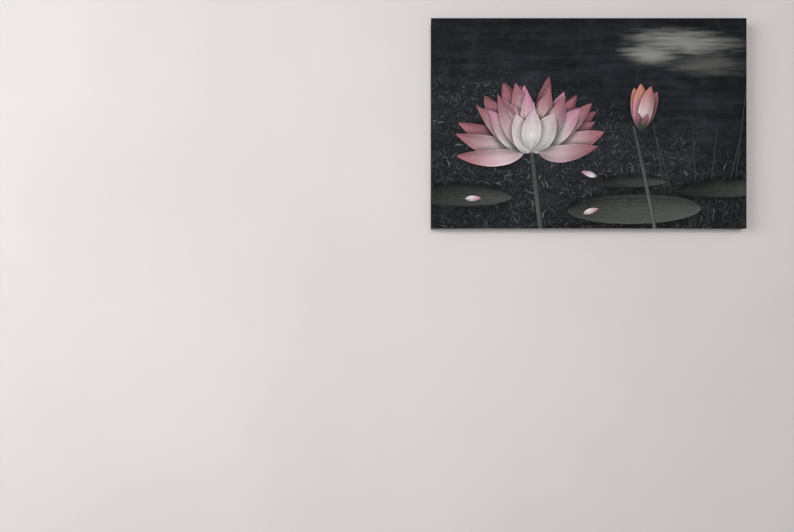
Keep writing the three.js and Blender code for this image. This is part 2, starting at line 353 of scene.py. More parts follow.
def floating_flecks():
    """Small curved leaflets lying on water, one to a cell, each with its own turn, size and tone."""
    build, given, taken = shader_group(
        "Floating Flecks",
        {"Vector": None, "Cell": 14 * MM, "Length": 0.42, "Breadth": 0.09, "Flatten": 1.6},
        ("Mask", "Tone"),
    )
    stretched = build.joined(build.times(given["Cell"], given["Flatten"]), given["Cell"], 1.0)
    cells = build.vector("DIVIDE", given["Vector"], stretched)
    grid = build.node("TexVoronoi", voronoi_dimensions="2D", feature="F1")
    build.fill(grid, Vector=cells, Scale=1.0, Randomness=1.0)
    local = build.vector("SUBTRACT", cells, grid.outputs["Position"])
    draw_turn, draw_size, draw_tone = build.parts(grid.outputs["Color"])
    spun = build.node("VectorRotate", rotation_type="Z_AXIS")
    angle = build.span(draw_turn, 0.0, 1.0, -1.5, 1.5, "LINEAR")
    build.fill(spun, Vector=local, Angle=angle)
    along, across, _ = build.parts(spun.outputs[0])
    bow = build.times(along, along, build.span(draw_tone, 0.0, 1.0, -0.5, 0.7, "LINEAR"))
    size = build.span(draw_size, 0.0, 1.0, 0.35, 1.1, "LINEAR")
    run = build.over(along, build.times(given["Length"], size))
    width = build.over(build.plus(across, bow), build.times(given["Breadth"], size))
    round_ = build.plus(build.times(run, run), build.times(width, width))
    build.feed(taken["Mask"], build.span(round_, 1.0, 0.35))
    build.feed(taken["Tone"], build.times(draw_tone, draw_tone))


def still_pond():
    """The picture's ground: dark water strewn with leaflets, smooth further off, with a pale light on it."""
    look = bpy.context.scene.print_picture
    build, given, taken = shader_group("Still Pond", {"Vector": None}, ("Color",))
    vector = given["Vector"]
    across, up, _ = build.parts(vector)
    ripple = build.noise(build.place(vector, scale=(0.24, 0.020, 1.0)), 1.0, 3.0, 0.55, 0.4)
    sheen = build.span(ripple, 0.30, 0.75, 0.62, 1.55)
    cloud = build.span(build.noise(vector, 5.0, 3.0), 0.3, 0.7, 0.72, 1.30)
    water = build.brighter(build.brighter(tuple(look.water), sheen), cloud)

    light = tuple(look.haze)
    wander = build.times(build.noise(build.place(vector, scale=(0.110, 0.012, 1.0)), 1.0, 4.0, 0.6), 1.7)
    for spot, size, strength in (
        # where each part of the light is, its half breadth and height, and how much it shows
        ((0.275, 0.232, 0), (0.155, 0.036, 1.0), 0.95),
        ((0.175, 0.196, 0), (0.080, 0.024, 1.0), 0.80),
        ((0.330, 0.165, 0), (0.120, 0.030, 1.0), 0.30),
    ):
        spread = build.vector("LENGTH", build.place(vector, location=spot, angle=-0.06, scale=size))
        lit = build.span(build.plus(spread, wander), 2.20, 0.90)
        water = build.mix(build.times(lit, strength), water, light)

    drift = build.plus(up, build.times(across, 0.30), build.times(build.noise(vector, 8.0, 3.0), 0.20))
    near = build.span(drift, 0.24, 0.02)
    patches = build.span(build.noise(vector, 17.0, 3.0, 0.6), 0.36, 0.62, 0.42, 1.0)
    layers = (
        # cell, half length and half breadth in cells, flattening, turn and tone
        (6.0 * MM, 0.60, 0.17, 1.3, 0.40, 0.42),
        (8.0 * MM, 0.62, 0.14, 1.3, -0.50, 0.62),
        (11.0 * MM, 0.60, 0.11, 1.4, 0.95, 0.85),
        (16.0 * MM, 0.56, 0.085, 1.3, -1.20, 1.15),
        (29.0 * MM, 0.46, 0.055, 1.1, -0.20, 1.90),
    )
    for cell, length, breadth, flatten, turn, tone in layers:
        shifted = build.place(vector, location=(turn, cell * 7, 0), angle=turn)
        fleck = build.group(
            "Floating Flecks", Vector=shifted, Cell=cell, Length=length, Breadth=breadth, Flatten=flatten
        )
        shade = build.span(fleck["Tone"], 0.0, 1.0, 0.30 * tone, 1.25 * tone, "LINEAR")
        leaflet = build.brighter(tuple(look.fleck), shade)
        water = build.mix(build.times(fleck["Mask"], near, patches), water, leaflet)
    from_middle = build.vector("LENGTH", build.place(vector, scale=(WIDTH / 2, HEIGHT / 2, 1.0)))
    water = build.brighter(water, build.span(from_middle, 0.55, 1.40, 1.12, 0.70))
    build.feed(taken["Color"], water)


def wood_grain():
    """Sawn wood: rings cut lengthwise, wandering with the grain, with fine fibres and a few small knots."""
    build, given, taken = shader_group(
        "Wood Grain", {"Vector": None, "Ring": 3 * MM, "Early": WHITE, "Late": WHITE}, ("Color", "Height")
    )
    vector = given["Vector"]
    drift = build.noise(build.place(vector, scale=(0.55, 0.045, 0.045)), 1.0, 2.0)
    sway = build.times(drift, 0.055)
    spots = build.node("TexVoronoi", feature="F1")
    build.fill(spots, Vector=build.place(vector, scale=(0.34, 0.05, 0.05)), Scale=1.0, Randomness=1.0)
    knot = build.span(spots.outputs["Distance"], 0.16, 0.03)
    _, across, through = build.parts(vector)
    pith = build.joined(0.0, build.plus(across, 0.060), build.minus(through, 0.035))
    radius = build.plus(build.vector("LENGTH", pith), sway, build.times(knot, 0.012))
    turns = build.math("FRACT", build.over(radius, given["Ring"]))
    late = build.times(build.span(turns, 0.25, 0.86), build.span(turns, 1.0, 0.90))
    fibre = build.noise(build.place(vector, scale=(26 * MM, 0.7 * MM, 0.7 * MM)), 1.0, 3.0, 0.6)
    tone = build.plus(build.times(late, 0.75), build.span(fibre, 0.3, 0.7, -0.10, 0.22))
    board = build.span(build.noise(vector, 3.0, 2.0), 0.3, 0.7, 0.88, 1.08)
    colour = build.mix(tone, given["Early"], given["Late"])
    colour = build.mix(build.times(knot, 0.7), colour, (0.16, 0.075, 0.030))
    build.feed(taken["Color"], build.scaled(colour, board))
    build.feed(taken["Height"], build.plus(build.times(late, 0.5), fibre))


def dust_and_wear():
    """Soft uneven dust and handling marks: a mask for colour and a number for roughness."""
    build, given, taken = shader_group(
        "Dust and Wear", {"Vector": None, "Scale": 30.0, "Amount": 0.3}, ("Mask", "Grain")
    )
    cloud = build.noise(given["Vector"], given["Scale"], 4.0, 0.6, 0.6)
    speck = build.noise(given["Vector"], build.times(given["Scale"], 14.0), 2.0, 0.7)
    mask = build.times(build.span(cloud, 0.42, 0.72), given["Amount"])
    build.feed(taken["Mask"], build.times(mask, build.span(speck, 0.25, 0.65, 0.5, 1.0)))
    build.feed(taken["Grain"], speck)


def new_material(name):
    """A material with its Principled shader, and a Tree to build on."""
    material = bpy.data.materials.new(name)
    material.use_nodes = True
    shader = material.node_tree.nodes["Principled BSDF"]
    return material, Tree(material.node_tree), shader


def raise_bump(build, shader, height, strength, distance):
    bump = build.node("Bump")
    build.fill(bump, Height=height, Strength=strength, Distance=distance)
    build.feed(shader.inputs["Normal"], bump.outputs[0])


def object_places(build):
    return build.node("TexCoord").outputs["Object"]


def cloth_places(build):
    """Where each point was on the flat cloth, in metres from the picture's middle."""
    return build.node("UVMap", uv_map=CLOTH_MAP).outputs[0]


# Picture

STEM = (0.05, 0.05)


def lobe(
    base, angle, length, breadth, near, tip,
    bend=0.0, shape=(0.62, 0.74), soft=0.06, side=0.2, veins=0.035,
):
    """The measures of one petal, leaf or stem, as the inputs of its shader group. Angles are in degrees."""
    root, end = shape
    widest = root / (root + end)
    turn = math.radians(angle)
    return {
        "Base_Across": base[0], "Base_Up": base[1], "Cosine": math.cos(turn), "Sine": math.sin(turn),
        "Length": length, "Half_Breadth": breadth / 2, "Bend": bend, "Root_Shape": root, "Tip_Shape": end,
        "Fullness": 1 / (widest ** root * (1 - widest) ** end), "Soft": soft, "Light_Side": side,
        "Veins": veins, "Near_Colour": near, "Tip_Colour": tip,
    }


def blend(first, second, share):
    return tuple(a + (b - a) * share for a, b in zip(first, second))


def toned(colour, amount):
    return tuple(c * amount for c in colour)


def inks(look, *names):
    """The picture's colours of those names, as plain tuples."""
    return [tuple(getattr(look, name)) for name in names]


def flower(look):
    """An open water lily, from its back petals to its front ones."""
    petal, blush, rose, coral, water = inks(look, "petal", "blush", "rose", "coral", "water")
    draw = random.Random(11)
    heart = (-0.165, -0.080)
    shade = blend(rose, water, 0.35)
    rings = (
        # petals, lowest and highest angle, length, breadth, curl, near and tip colours
        (7, 30, 150, 0.200, 0.060, 0.10, rose, shade),
        (6, 20, 160, 0.200, 0.064, 0.14, blend(blush, rose, 0.4), rose),
        (6, 46, 134, 0.182, 0.064, 0.06, blend(petal, blush, 0.6), blush),
        (6, 2, 178, 0.200, 0.060, 0.46, blend(petal, blush, 0.35), rose),
        (5, 38, 142, 0.160, 0.064, 0.16, petal, blush),
        (4, -12, 192, 0.176, 0.050, 0.74, blend(petal, blush, 0.5), rose),
        (3, 64, 116, 0.112, 0.066, 0.0, petal, blend(petal, blush, 0.45)),
    )
    found = []
    for count, low, high, length, breadth, curl, near, tip in rings:
        for step in sorted(range(count), key=lambda i: -abs(2 * i - count + 1)):
            angle = low + (high - low) * step / (count - 1) + draw.uniform(-6, 6)
            lean = math.cos(math.radians(angle))
            grown = draw.uniform(0.90, 1.07)
            base = (heart[0] + 0.022 * lean, heart[1] + 0.006 * draw.uniform(-1, 1))
            tone = draw.uniform(0.84, 1.08)
            shape = (draw.uniform(0.54, 0.70), draw.uniform(0.72, 0.98))
            bend = -curl * 2.4 * lean + draw.uniform(-0.34, 0.34)
            broad = breadth * draw.uniform(0.84, 1.12)
            side = draw.uniform(-0.12, 0.34)
            colours = toned(near, tone), toned(tip, tone)
            found.append(lobe(base, angle, length * grown, broad, *colours, bend, shape, side=side))
    cup = (heart[0], heart[1] + 0.030)
    pollen = blend(coral, petal, 0.5)
    stamens = [
        lobe(cup, angle, 0.112, 0.0050, coral, pollen, -2.0 + 0.5 * i)
        for i, angle in enumerate((50, 62, 73, 84, 95, 106, 117, 129))
    ]
    return found[:-3] + stamens + found[-3:]


def bud(look):
    """A closed bud, coral at its tip, on a stem that leans."""
    petal, blush, rose, coral, leaf = inks(look, "petal", "blush", "rose", "coral", "leaf")
    base = (0.150, -0.020)
    stem = lobe((0.205, -0.40), 99.5, 0.40, 0.0100, blend(leaf, petal, 0.10), leaf, -2.2, STEM)
    petals = (
        # angle, length, breadth, near and tip colours
        (101, 0.122, 0.040, blush, coral),
        (69, 0.118, 0.040, rose, rose),
        (92, 0.132, 0.046, blush, coral),
        (79, 0.128, 0.042, blend(petal, blush, 0.4), blend(coral, rose, 0.5)),
        (104, 0.052, 0.018, leaf, rose),
        (70, 0.050, 0.018, leaf, rose),
    )
    return [stem] + [lobe(base, *sizes, bend=0.15, side=0.3) for sizes in petals]


def greenery(look):
    """Reeds, round floating leaves, three fallen petals and the flower's stem, from back to front."""
    leaf, petal, blush = inks(look, "leaf", "petal", "blush")
    dim, bright = toned(leaf, 0.42), toned(leaf, 1.5)
    draw = random.Random(19)
    found = []
    for i in range(8):
        base = (0.250 + 0.028 * i + draw.uniform(-9, 9) * MM, -0.40)
        angle = 97 - 3.4 * i + draw.uniform(-5, 5)
        length = draw.uniform(0.34, 0.60)
        bend = draw.uniform(-14, 14)
        found.append(lobe(base, angle, length, 0.0075, dim, leaf, bend, (0.1, 0.8), soft=0.30, side=0.25))
    pads = (
        # left end, angle, length, breadth, softness and colour
        ((-0.520, -0.205), -1, 0.300, 0.066, 0.35, dim),
        ((0.010, -0.170), 1, 0.210, 0.036, 0.40, dim),
        ((0.250, -0.192), 2, 0.280, 0.054, 0.30, dim),
        ((-0.060, -0.248), 1, 0.380, 0.088, 0.10, leaf),
    )
    for base, angle, length, breadth, soft, tone in pads:
        far = blend(tone, bright, 0.5)
        found.append(lobe(base, angle, length, breadth, tone, far, 0.0, (0.5, 0.5), soft, -0.45, 0.10))
    for base, angle in (((-0.352, -0.216), 8), ((0.022, -0.150), 168), ((-0.015, -0.258), 24)):
        found.append(lobe(base, angle, 0.044, 0.016, petal, blush, 0.5, side=0.3))
    found.append(lobe((-0.130, -0.36), 97.5, 0.30, 0.0130, bright, leaf, 0.8, STEM))
    return found


def picture_colour(build, vector, look):
    """The printed picture: its leaves and petals from front to back, and the pond behind them."""
    pond = build.group("Still Pond", Vector=vector)["Color"]
    across, up, _ = build.parts(vector)
    ragged = build.minus(build.noise(vector, 42.0), 0.5)
    blotch = build.times(build.minus(build.noise(vector, 75.0, 3.0), 0.5), 0.3)
    colour, left = (0.0, 0.0, 0.0), 1.0
    for sizes in reversed(greenery(look) + bud(look) + flower(look)):
        made = build.group(
            "Petal", Across=across, Up=up, Ragged=ragged, Blotch=blotch, Above=colour, Gap=left, **sizes
        )
        colour, left = made["Color"], made["Gap"]
    return build.mix(left, colour, pond, "ADD")


# Materials


def printed_canvas():
    """The outer face of the cloth: ink on white primer, which is bare past the bleed on the back."""
    cloth = bpy.context.scene.print_cloth
    material, build, shader = new_material("printed canvas")
    vector = cloth_places(build)
    threads = build.group("Woven Threads", Vector=vector, Pitch=cloth.thread_pitch)
    worn = build.group("Dust and Wear", Vector=vector, Scale=26.0, Amount=0.10)
    across, up, _ = build.parts(vector)
    over_x = build.minus(build.math("ABSOLUTE", across), WIDTH / 2)
    over_z = build.minus(build.math("ABSOLUTE", up), HEIGHT / 2)
    past_edge = build.math("MAXIMUM", over_x, over_z)
    ragged = build.times(build.noise(vector, 240.0), 0.8 * MM)
    limit = DEPTH + cloth.bleed
    bare = build.span(build.plus(past_edge, ragged), limit, limit + 0.3 * MM)
    primer = build.scaled(tuple(cloth.primer_colour), build.span(threads["Slub"], 0.2, 0.8, 0.97, 1.02))
    inked = picture_colour(build, vector, bpy.context.scene.print_picture)
    # Painted shade of the weave: the ink is darker where the threads dip and lighter on their crowns.
    inked = build.scaled(inked, build.span(threads["Height"], 0.2, 1.2, 0.84, 1.07))
    inked = build.mix(worn["Mask"], inked, (0.12, 0.12, 0.12))
    build.fill(
        shader, Base_Color=build.mix(bare, inked, primer), Specular_IOR_Level=0.12,
        Roughness=build.span(worn["Grain"], 0.3, 0.7, 0.66, 0.80),
    )
    raise_bump(build, shader, threads["Height"], 0.6, 0.14 * MM)
    return material


def raw_canvas():
    """The inner face of the cloth: bare threads with flecks of seed."""
    cloth = bpy.context.scene.print_cloth
    material, build, shader = new_material("raw canvas")
    vector = cloth_places(build)
    threads = build.group("Woven Threads", Vector=vector, Pitch=cloth.thread_pitch)
    seeds = build.span(build.noise(vector, 620.0, 1.0), 0.70, 0.78)
    stain = build.span(build.noise(vector, 7.0, 3.0), 0.35, 0.75, 0.92, 1.05)
    colour = build.scaled(tuple(cloth.raw_colour), stain)
    # Painted shade of the weave: the bare threads are darker where they dip and lighter on their crowns.
    colour = build.scaled(colour, build.span(threads["Height"], 0.2, 1.2, 0.78, 1.06))
    colour = build.mix(build.times(seeds, 0.5), colour, (0.22, 0.16, 0.09))
    build.fill(
        shader, Base_Color=colour, Sheen_Weight=0.15, Specular_IOR_Level=0.2,
        Roughness=build.span(threads["Slub"], 0.2, 0.8, 0.84, 0.94),
    )
    raise_bump(build, shader, threads["Height"], 0.8, 0.16 * MM)
    return material


def timber(name, upright, early, late, ring):
    """Unfinished sawn wood with its grain upright or across."""
    material, build, shader = new_material(name)
    turn = (0.0, QUARTER if upright else 0.0, 0.0)
    shift = (0.31, 0.02, 0.013) if upright else (0.0, 0.0, 0.0)
    vector = build.place(object_places(build), location=shift, angle=turn)
    grain = build.group("Wood Grain", Vector=vector, Ring=ring, Early=early, Late=late)
    worn = build.group("Dust and Wear", Vector=vector, Scale=22.0, Amount=0.28)
    build.fill(
        shader, Base_Color=build.mix(worn["Mask"], grain["Color"], (0.36, 0.30, 0.23)),
        Roughness=build.span(grain["Height"], 0.2, 1.2, 0.62, 0.78), Specular_IOR_Level=0.35,
    )
    raise_bump(build, shader, grain["Height"], 0.5, 0.18 * MM)
    return material


def dusty(name, colour, dust, scale, amount, roughness):
    """A plain finish under soft dust, with its tree, its shader and the dust's fine grain."""
    material, build, shader = new_material(name)
    worn = build.group("Dust and Wear", Vector=object_places(build), Scale=scale, Amount=amount)
    build.fill(
        shader, Base_Color=build.mix(worn["Mask"], colour, dust),
        Roughness=build.span(worn["Grain"], 0.3, 0.7, *roughness),
    )
    return material, build, shader, worn["Grain"]


def bright_zinc():
    zinc = tuple(bpy.context.scene.print_fittings.zinc)
    material, build, shader, _ = dusty("bright zinc", zinc, (0.44, 0.42, 0.37), 180.0, 0.55, (0.26, 0.46))
    scratched = build.place(object_places(build), angle=0.4, scale=(6 * MM, 0.25 * MM, 6 * MM))
    shader.inputs["Metallic"].default_value = 1.0
    raise_bump(build, shader, build.noise(scratched, 1.0, 2.0), 0.25, 0.04 * MM)
    return material


def bumper_rubber():
    rubber = tuple(bpy.context.scene.print_fittings.rubber)
    dust = (0.16, 0.155, 0.15)
    material, build, shader, grain = dusty("bumper rubber", rubber, dust, 240.0, 0.35, (0.58, 0.80))
    raise_bump(build, shader, grain, 0.3, 0.05 * MM)
    return material


# Modelling helpers


def nothing_selected():
    if bpy.context.mode != "OBJECT":
        bpy.ops.object.mode_set(mode="OBJECT")
    bpy.ops.object.select_all(action="DESELECT")


def take(piece):
    """Makes the piece the one that operators work on."""
    nothing_selected()
    piece.select_set(True)
    bpy.context.view_layer.objects.active = piece


def edit(piece):
    take(piece)
    bpy.ops.object.mode_set(mode="EDIT")


def leave_edit():
    bpy.ops.object.mode_set(mode="OBJECT")


def added(operator, name, **settings):
    """The object that an operator adds, with its name, and its data named alike."""
    nothing_selected()
    operator(**settings)
    made = bpy.context.active_object
    made.name = name
    made.data.name = name
    return made


def settle(piece):
    """Puts the piece's place, turn and size into its mesh."""
    take(piece)
    bpy.ops.object.transform_apply(location=True, rotation=True, scale=True)


def primitive(operator, name, **settings):
    """A new primitive, with its place, turn and size in its mesh."""
    piece = added(operator, name, **settings)
    settle(piece)
    return piece


def nodes_named(start):
    return sorted(node for node in NODES if node.startswith(start))


def pick(piece, faces=None, edges=None):
    """In edit mode, selects just the faces or edges that pass the test."""
    bpy.ops.mesh.select_mode(type="FACE" if faces else "EDGE")
    bpy.ops.mesh.select_all(action="DESELECT")
    shape = bmesh.from_edit_mesh(piece.data)
    for part in shape.faces if faces else shape.edges:
        part.select_set(bool((faces or edges)(part)))
    shape.select_flush(True)
    bmesh.update_edit_mesh(piece.data)


def apply_modifier(piece, kind, **settings):
    take(piece)
    modifier = piece.modifiers.new(kind.lower(), kind)
    for name, value in settings.items():
        setattr(modifier, name, value)
    bpy.ops.object.modifier_apply(modifier=modifier.name)


def ease_edges(piece, width, degrees):
    """Bevels the edges that turn by more than so many degrees."""
    angle = math.radians(degrees)
    apply_modifier(piece, "BEVEL", width=width, segments=2, limit_method="ANGLE", angle_limit=angle)


def smooth(piece, degrees):
    take(piece)
    bpy.ops.object.shade_smooth_by_angle(angle=math.radians(degrees))


def copy_of(mesh, name):
    """A new object with a copy of the mesh that is its own."""
    piece = bpy.data.objects.new(name, mesh.copy())
    piece.data.name = name
    bpy.context.scene.collection.objects.link(piece)
    return piece


def from_node(node, name):
    """A copy of a node's shape, with its doubles merged and its flat faces whole, so edges can be eased."""
    piece = copy_of(NODES[node].data, name)
    piece.data.materials.clear()
    edit(piece)
    bpy.ops.mesh.select_all(action="SELECT")
    bpy.ops.mesh.customdata_custom_splitnormals_clear()
    bpy.ops.mesh.remove_doubles(threshold=CLOSE)
    bpy.ops.mesh.dissolve_limited(angle_limit=math.radians(1))
    leave_edit()
    return piece


def finish_piece(piece, slot, material, *nodes):
    """Gives the piece its material, puts it on the body and lets it stand for its nodes. The slot is not
    used.
    """
    if material is not None:
        piece.data.materials.clear()
        piece.data.materials.append(material)
    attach(piece, "root")
    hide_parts(*nodes)


def material_of(name, make):
    """The material of that name, made the first time it is asked for."""
    return bpy.data.materials.get(name) or make()


# Cloth


def side_of(normal):
    """Which side of the print a face of the cloth is on."""
    axis = max(range(3), key=lambda i: abs(normal[i]))
    if axis == 1:
        return "back" if normal.y > 0 else "front"
    if axis == 0:
        return "right" if normal.x > 0 else "left"
    return "top" if normal.z > 0 else "bottom"


def by_upright_side(point):
    """Whether a point of the back lies on the left or right flap, and not on the top or bottom one."""
    return WIDTH / 2 - abs(point.x - MIDDLE.x) < HEIGHT / 2 - abs(point.z - MIDDLE.z)


def flat_place(side, point, on_upright_flap):
    """Where a point of the wrapped cloth lay when the cloth was flat, from the picture's middle."""
    x = point.x - MIDDLE.x
    z = point.z - MIDDLE.z
    round_side = point.y - PICTURE_Y
    if side == "front":
        return x, z
    if side in ("left", "right"):
        return math.copysign(WIDTH / 2 + round_side, x), z
    if side in ("top", "bottom"):
        return x, math.copysign(HEIGHT / 2 + round_side, z)
    if on_upright_flap:
        return math.copysign(WIDTH + DEPTH - abs(x), x), z
    return x, math.copysign(HEIGHT + DEPTH - abs(z), z)


def cloth_box():
    """The cloth as a box with rounded edges, open at the back inside its four flaps."""
    cloth = bpy.context.scene.print_cloth
    piece = primitive(
        bpy.ops.mesh.primitive_cube_add, "canvas_cloth", size=1, location=MIDDLE, scale=(WIDTH, DEPTH, HEIGHT)
    )
    edit(piece)
    pick(piece, faces=lambda f: f.normal.y > 0.5)
    bpy.ops.mesh.inset(thickness=cloth.flap)
    bpy.ops.mesh.delete(type="FACE")
    on_front = lambda e: all(v.co.y < PICTURE_Y + MM for v in e.verts)
    runs_back = lambda e: abs(e.verts[0].co.y - e.verts[1].co.y) > DEPTH / 2
    pick(piece, edges=lambda e: on_front(e) or runs_back(e))
    bpy.ops.mesh.bevel(offset=cloth.front_round, segments=4, affect="EDGES")
    rounded = cloth.front_round * 1.01
    at_side = lambda v: (
        abs(v.co.x - MIDDLE.x) > WIDTH / 2 - rounded or abs(v.co.z - MIDDLE.z) > HEIGHT / 2 - rounded
    )
    at_back = lambda e: all(v.co.y > BACK_Y - CLOSE and at_side(v) for v in e.verts)
    turns_over = lambda e: len(e.link_faces) == 2 and min(f.normal.y for f in e.link_faces) < 0.5
    pick(piece, edges=lambda e: at_back(e) and turns_over(e))
    bpy.ops.mesh.bevel(offset=1.0 * MM, segments=2, affect="EDGES")
    leave_edit()
    return piece


def cut_all(piece, places, direction, faces=None):
    """Cuts the selected faces, or all of them, by a plane through each place."""
    for place in places:
        if faces:
            pick(piece, faces=faces)
        else:
            bpy.ops.mesh.select_all(action="SELECT")
        bpy.ops.mesh.bisect(plane_co=place, plane_no=direction)


def evenly(low, high, step):
    count = max(2, round((high - low) / step))
    return [low + (high - low) * i / count for i in range(1, count)]


def cut_cloth(piece):
    """Cuts the cloth into small faces, with lines where the corner folds begin and end."""
    edit(piece)
    margin = 3 * MM
    columns = evenly(MIDDLE.x - WIDTH / 2 + margin, MIDDLE.x + WIDTH / 2 - margin, GRID)
    rows = evenly(MIDDLE.z - HEIGHT / 2 + margin, MIDDLE.z + HEIGHT / 2 - margin, GRID)
    round_side = evenly(PICTURE_Y + 2 * MM, BACK_Y - MM, GRID / 2)
    cut_all(piece, [Vector((x, 0, 0)) for x in columns], (1, 0, 0))
    cut_all(piece, [Vector((0, 0, z)) for z in rows], (0, 0, 1))
    cut_all(piece, [Vector((0, y, 0)) for y in round_side], (0, 1, 0))
    top_or_bottom = lambda f: abs(f.normal.z) > 0.7
    on_flap = lambda f: f.normal.y > 0.7
    folded = lambda f: top_or_bottom(f) or on_flap(f)
    for way in (-1, 1):
        corner = MIDDLE.x + way * WIDTH / 2
        edges = [Vector((corner - way * d, 0, 0)) for d in (FOLD_LINE, FOLD_LINE + FOLD_RISE)]
        cut_all(piece, edges, (1, 0, 0), folded)
        slant = [Vector((corner - way * d, PICTURE_Y, 0)) for d in (0.0, -FOLD_FADE / 2, -FOLD_FADE)]
        near = lambda f: top_or_bottom(f) and abs(f.calc_center_median().x - corner) < DEPTH + 8 * MM
        cut_all(piece, slant, (way, 1, 0), near)
        for level in (-1, 1):
            mitre = Vector((corner, 0, MIDDLE.z + level * HEIGHT / 2))
            lines = [mitre + Vector((0, 0, level * past)) for past in (-0.5 * MM, MITRE_CREASE, 0.9 * MM)]
            by_corner = lambda f: on_flap(f) and (f.calc_center_median() - mitre).xz.length < 60 * MM
            cut_all(piece, lines, (way, 0, -level), by_corner)
    leave_edit()


def ramp(value):
    return min(1.0, max(0.0, value))


def layer_height(point, normal):
    """How thick the corner fold's extra layer is under a point: 0 to 1, and less than 0 in the crease."""
    from_corner = WIDTH / 2 - abs(point.x - MIDDLE.x)
    from_front = point.y - PICTURE_Y
    from_end = HEIGHT / 2 - abs(point.z - MIDDLE.z)
    lift = ramp((from_corner - FOLD_LINE) / FOLD_RISE)
    if normal.y > 0.6:
        behind_mitre = from_corner - from_end
        if abs(behind_mitre - MITRE_CREASE) < 0.05 * MM:
            return -0.7
        if behind_mitre < MITRE_CREASE:
            return 0.0
        return lift * ramp((DEPTH + 4 * MM - from_corner) / FOLD_FADE)
    if abs(normal.z) < 0.6:
        return 0.0
    return lift * ramp((from_front - from_corner + FOLD_FADE / 2) / FOLD_FADE)


def stretch_marks(point):
    """Small pulls of the cloth towards its staples, in metres inwards."""
    along = point.x - MIDDLE.x
    pull = math.cos(along / STAPLE_PITCH * 2 * math.pi)
    return 0.12 * MM * pull * noise.noise(point * 9.0)


def shape_cloth(piece):
    """Moves the cut cloth's points: slack, corner folds, pulls at the staples and an uneven cut edge."""
    cloth = bpy.context.scene.print_cloth
    shape = bmesh.new()
    shape.from_mesh(piece.data)
    shape.normal_update()
    lip, side_slack = 9 * MM, 0.15 * MM
    moves = []
    for v in shape.verts:
        x, z = v.co.x - MIDDLE.x, v.co.z - MIDDLE.z
        move = v.normal * cloth.fold_height * layer_height(v.co, v.normal)
        if v.normal.y < -0.9:
            inset_x = max(0.0, 1 - (x / (WIDTH / 2 - lip)) ** 2)
            inset_z = max(0.0, 1 - (z / (HEIGHT / 2 - lip)) ** 2)
            bowl = (inset_x * inset_z) ** 0.6
            ripple = 0.25 * noise.noise(v.co * 4.0) * bowl
            move += Vector((0, cloth.sag * bowl * (1 + ripple), 0))
        elif v.normal.y < 0.6 and PICTURE_Y + 4 * MM < v.co.y < BACK_Y - 2 * MM:
            move -= v.normal * (side_slack + stretch_marks(v.co))
        if v.is_boundary:
            ragged = 0.7 * MM * noise.noise(v.co * 55.0) + 0.9 * MM * noise.noise(v.co * 9.0)
            inwards = Vector((-x, 0, 0)) if abs(x) > abs(z) * WIDTH / HEIGHT else Vector((0, 0, -z))
            move += inwards.normalized() * ragged
            move += Vector((0, 0.25 * MM * (1 + noise.noise(v.co * 24.0)), 0))
        moves.append(move)
    for v, move in zip(shape.verts, moves):
        v.co += move
    shape.to_mesh(piece.data)
    shape.free()


def map_cloth(piece):
    """Maps each face to where it lay on the flat cloth, in metres."""
    mesh = piece.data
    flat = mesh.uv_layers.new(name=CLOTH_MAP)
    for face in mesh.polygons:
        side = side_of(face.normal)
        for corner in face.loop_indices:
            point = mesh.vertices[mesh.loops[corner].vertex_index].co
            flat.data[corner].uv = flat_place(side, point, by_upright_side(face.center))


def fit_bake_map(piece):
    """A second map, for baking: the outer face fills most of a square, and the inner face lies above it."""
    cloth = bpy.context.scene.print_cloth
    mesh = piece.data
    flat = mesh.uv_layers[CLOTH_MAP]
    fitted = mesh.uv_layers.new(name="OFBake")
    reach_x = WIDTH / 2 + DEPTH + cloth.flap + 2 * MM
    reach_z = HEIGHT / 2 + DEPTH + cloth.flap + 2 * MM
    full = 2 * reach_x
    outer_top = 2 * reach_z / full
    margin = 0.008
    inner_scale = (1 - outer_top - margin) / outer_top
    for face in mesh.polygons:
        inner = face.material_index > 0
        for corner in face.loop_indices:
            u, v = flat.data[corner].uv
            place = Vector(((u + reach_x) / full, (v + reach_z) / full))
            if inner:
                place = place * inner_scale + Vector((0, outer_top + margin))
            fitted.data[corner].uv = place


class CANVASPRINT_OT_cloth(bpy.types.Operator):
    """Stretch the printed cloth over the frame, fold its corners and turn it onto the back"""

    bl_idname = "canvas_print.cloth"
    bl_label = "Printed Cloth"

    def execute(self, context):
        cloth = context.scene.print_cloth
        piece = cloth_box()
        cut_cloth(piece)
        map_cloth(piece)
        shape_cloth(piece)
        piece.data.materials.append(printed_canvas())
        piece.data.materials.append(raw_canvas())
        apply_modifier(piece, "SOLIDIFY", thickness=cloth.thickness, offset=-1.0, use_even_offset=True,
                       material_offset=1, material_offset_rim=1)
        fit_bake_map(piece)
        smooth(piece, 40)
        finish_piece(piece, "canvas_print", None, "canvas")
        return {"FINISHED"}


# Timber


def wood(kind, upright, early, late, ring):
    name = kind + (" upright" if upright else " across")
    return material_of(name, lambda: timber(name, upright, tuple(early), tuple(late), ring))


def pine(look, upright):
    return wood("pine", upright, look.pale, look.dark, look.ring)


def beech(look, upright):
    return wood("beech", upright, look.key_pale, look.key_dark, look.key_ring)


def eased(node, name, width):
    piece = from_node(node, name)
    ease_edges(piece, width, 30)
    smooth(piece, 35)
    return piece


class CANVASPRINT_OT_stretchers(bpy.types.Operator):
    """Make the four mitred stretcher bars and the centre brace, with their edges eased"""

    bl_idname = "canvas_print.stretchers"
    bl_label = "Stretcher Bars"

    def execute(self, context):
        look = context.scene.print_timber
        for side in SIDES:
            piece = eased("bar_" + side, "stretcher_" + side, look.eased)
            finish_piece(piece, "pine", pine(look, side in ("left", "right")), "bar_" + side)
        piece = eased("brace", "centre_brace", look.eased)
        finish_piece(piece, "pine", pine(look, True), "brace")
        return {"FINISHED"}


